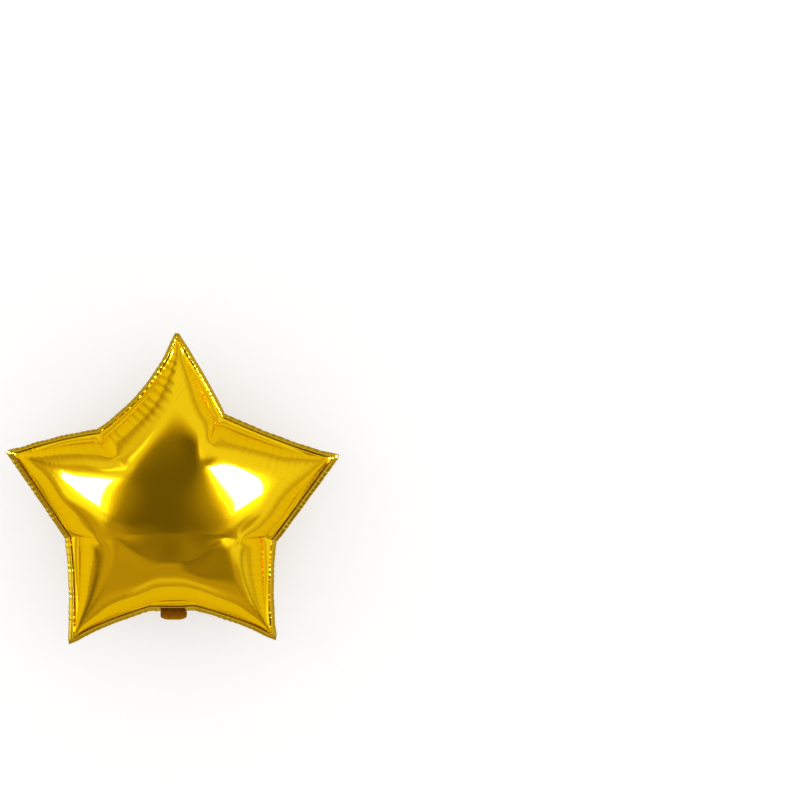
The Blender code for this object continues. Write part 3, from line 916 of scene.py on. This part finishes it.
class BALLOON_OT_stage(bpy.types.Operator):
    """Set up the plain floor, the studio light and the camera"""

    bl_idname = "balloon.stage"
    bl_label = "Stage"

    def execute(self, context):
        self.floor(context)
        self.studio(context)
        for softbox in SOFTBOXES:
            self.softbox(*softbox)
        self.camera(context)
        context.scene.view_settings.view_transform = "Standard"
        return {"FINISHED"}

    @staticmethod
    def floor(context):
        """A wide pale floor, which the camera sees a little brighter than the light makes it, and
        which the film mirrors a little warmer."""
        span = 12.0
        corners = np.array([[-span, -span, 0.0], [span, -span, 0.0], [span, span, 0.0], [-span, span, 0.0]])
        mesh = new_mesh("floor", corners - [0.0, 0.0, 0.0002], np.array([[0, 1, 2, 3]]))
        material, shade = new_material("pale_floor")
        colours = context.scene.balloon_colours
        seen = shade.node("ShaderNodeLightPath", output="Is Camera Ray")
        colour = shade.blend(seen, tuple(colours.floor_mirrored), tuple(colours.floor))
        paint = shade.node("ShaderNodeBsdfPrincipled", None, {
            "Base Color": colour, "Roughness": 0.9, "Specular IOR Level": 0.1})
        glow = shade.node("ShaderNodeEmission", None, {"Strength": 1.12})
        mix = shade.node("ShaderNodeMixShader", None, {0: seen * 0.45, 1: paint, 2: glow})
        shade.node("ShaderNodeOutputMaterial", None, {"Surface": mix})
        mesh.materials.append(material)
        new_object("floor", mesh)

    @staticmethod
    def studio(context):
        """White for the camera and for dull surfaces. A mirror finish sees the studio: a dim gap
        overhead between two bright sides, a bright far end and a duller near end. The two
        directions across the sky are the slopes of the film that would mirror them upwards."""
        world = bpy.data.worlds.new("studio")
        context.scene.world = world
        world.use_nodes = True
        shade = ShadeMaker(world.node_tree)
        sky = shade.node("ShaderNodeTexCoord", output="Generated")
        split = shade.node("ShaderNodeSeparateXYZ", None, {0: sky})
        parts = [Shade(shade, output) for output in split.socket.node.outputs]
        height = shade.maths("MAXIMUM", parts[2] + 1.0, 0.05)
        across = parts[0] / height
        ahead = parts[1] / height
        high = shade.maths("MAXIMUM", ahead - 0.10)
        aside = shade.maths("ABSOLUTE", across + 0.01 - 0.22 * high)
        low = shade.maths("MAXIMUM", 0.10 - ahead)
        reach = shade.maths("SQRT", across * across + ahead * ahead)
        gap = 0.28 * (1.0 - shade.rise(aside, 0.02, 0.24))
        gap = gap + 0.72 * (1.0 - shade.rise(aside - 0.55 * low, 0.13, 0.25))
        gap = gap * (1.0 - shade.rise(ahead + 0.6 * aside * aside, 0.30, 0.50))
        gap = gap * (0.86 + 0.14 * shade.rise(ahead, -0.14, -0.05))
        near = (1.0 - shade.rise(ahead, -0.34, -0.16)) * (1.0 - shade.rise(aside, 0.32, 0.60))
        near_wall = 0.56 + 0.22 * (1.0 - shade.rise(ahead, -0.80, -0.45))
        left_post = shade.patch(across, ahead, (-0.62, -0.42), (0.16, 0.20), 0.06)
        right_post = shade.patch(across, ahead, (0.50, -0.36), (0.07, 0.12), 0.05)
        upper_rail = shade.patch(across, ahead, (-0.62, 0.36), (0.34, 0.09), 0.06)
        left_glow = shade.patch(across, ahead, (-0.50, 0.00), (0.22, 0.12), 0.08)
        right_glow = shade.patch(across, ahead, (0.36, 0.02), (0.12, 0.12), 0.08)
        glints = shade.patch(across, ahead, (-0.24, 0.38), (0.03, 0.03), 0.02)
        near_shade = shade.patch(across, ahead, (0.25, -0.28), (0.18, 0.12), 0.04)
        near_light = shade.patch(across, ahead, (0.00, -0.84), (0.14, 0.22), 0.06)
        light = 1.09 - 0.16 * (1.0 - shade.rise(across, -0.40, -0.10)) - 0.24 * upper_rail
        light = light + 0.60 * left_glow + 0.60 * right_glow + 0.90 * glints
        light = light * (1.0 - 0.30 * left_post) * (1.0 - 0.40 * right_post)
        light = light * (1.0 - near) + near_wall * near
        light = (light + 0.16 * near_light) * (1.0 - 0.40 * near_shade)
        light = light * (1.0 - 0.84 * gap * (1.0 - near))
        light = light * (1.0 - 0.30 * shade.rise(reach, 0.66, 0.92))
        mirror = shade.node("ShaderNodeLightPath", output="Is Glossy Ray")
        strength = 1.0 - mirror * (1.0 - light)
        warm = (1.0 - shade.rise(light, 0.55, 1.10)) * mirror
        tint = shade.blend(warm, (1.0, 1.0, 1.0, 1.0), (1.0, 0.80, 0.6, 1.0))
        backdrop = shade.node("ShaderNodeBackground", None, {"Color": tint, "Strength": strength})
        shade.node("ShaderNodeOutputWorld", None, {"Surface": backdrop})

    @staticmethod
    def softbox(name, slope_x, slope_y, width, height):
        """A softbox that shows in the film where the film has these slopes: it is turned from
        straight up by twice the slope's angle. It doesn't show, nor light dull surfaces."""
        slope = math.hypot(slope_x, slope_y)
        tilt = 2.0 * math.atan(slope)
        aim = Vector((math.sin(tilt) * slope_x / slope, math.sin(tilt) * slope_y / slope, math.cos(tilt)))
        lamp = bpy.data.lights.new(name, "AREA")
        lamp.shape = "RECTANGLE"
        lamp.size, lamp.size_y = width, height
        lamp.energy = SOFTBOX_LIGHT * math.pi * lamp.size * lamp.size_y
        lamp.use_nodes = True
        shade = ShadeMaker(lamp.node_tree)
        bounced = shade.node("ShaderNodeLightPath", output="Diffuse Depth")
        direct = shade.maths("LESS_THAN", bounced, 0.5)
        glow = shade.node("ShaderNodeEmission", None, {"Strength": direct})
        shade.node("ShaderNodeOutputLight", None, {"Surface": glow})
        softbox = new_object(name, lamp)
        softbox.location = Vector((STAR_X, STAR_Y, FULL_THICKNESS / 2)) + aim * SOFTBOX_DISTANCE
        softbox.rotation_euler = aim.to_track_quat("Z", "Y").to_euler()
        softbox.visible_diffuse = False
        softbox.visible_camera = False

    @staticmethod
    def camera(context):
        """Straight down from far off, so that the star lies low and to the left in the frame."""
        lens = bpy.data.cameras.new("camera")
        lens.sensor_width = 36.0
        lens.lens = lens.sensor_width * CAMERA_DISTANCE / VIEW_WIDTH
        camera = new_object("camera", lens)
        right = VIEW_WIDTH * (0.5 - STAR_PIXEL[0] / PICTURE_SIDE)
        up = VIEW_WIDTH * (STAR_PIXEL[1] / PICTURE_SIDE - 0.5)
        camera.location = (STAR_X + right, STAR_Y + up, FULL_THICKNESS / 2 + CAMERA_DISTANCE)
        context.scene.camera = camera


class BALLOON_PT_panel(bpy.types.Panel):
    """Lists the steps and the sizes"""

    bl_idname = "BALLOON_PT_panel"
    bl_label = "Foil star balloon"
    bl_space_type = "VIEW_3D"
    bl_region_type = "UI"
    bl_category = "Balloon"

    def draw(self, context):
        for step in STEPS:
            self.layout.operator(step.bl_idname)
        for name in GROUPS:
            group = getattr(context.scene, name)
            box = self.layout.box()
            for value in group.__annotations__:
                box.prop(group, value)


GROUPS = {"balloon_sizes": BalloonSizes, "balloon_blow": BlowSettings, "balloon_colours": FoilColours}
STEPS = (BALLOON_OT_envelope, BALLOON_OT_neck, BALLOON_OT_stage)


def register():
    """Adds the steps, the panel and the three groups of sizes and colours."""
    for made in (*GROUPS.values(), *STEPS, BALLOON_PT_panel):
        bpy.utils.register_class(made)
    for name, group in GROUPS.items():
        setattr(bpy.types.Scene, name, PointerProperty(type=group))


def unregister():
    """Takes them away again."""
    for name in GROUPS:
        delattr(bpy.types.Scene, name)
    for made in reversed((*GROUPS.values(), *STEPS, BALLOON_PT_panel)):
        bpy.utils.unregister_class(made)


def main():
    """Runs every step."""
    register()
    bpy.ops.balloon.envelope()
    bpy.ops.balloon.neck()
    bpy.ops.balloon.stage()


if __name__ == "__main__":
    main()
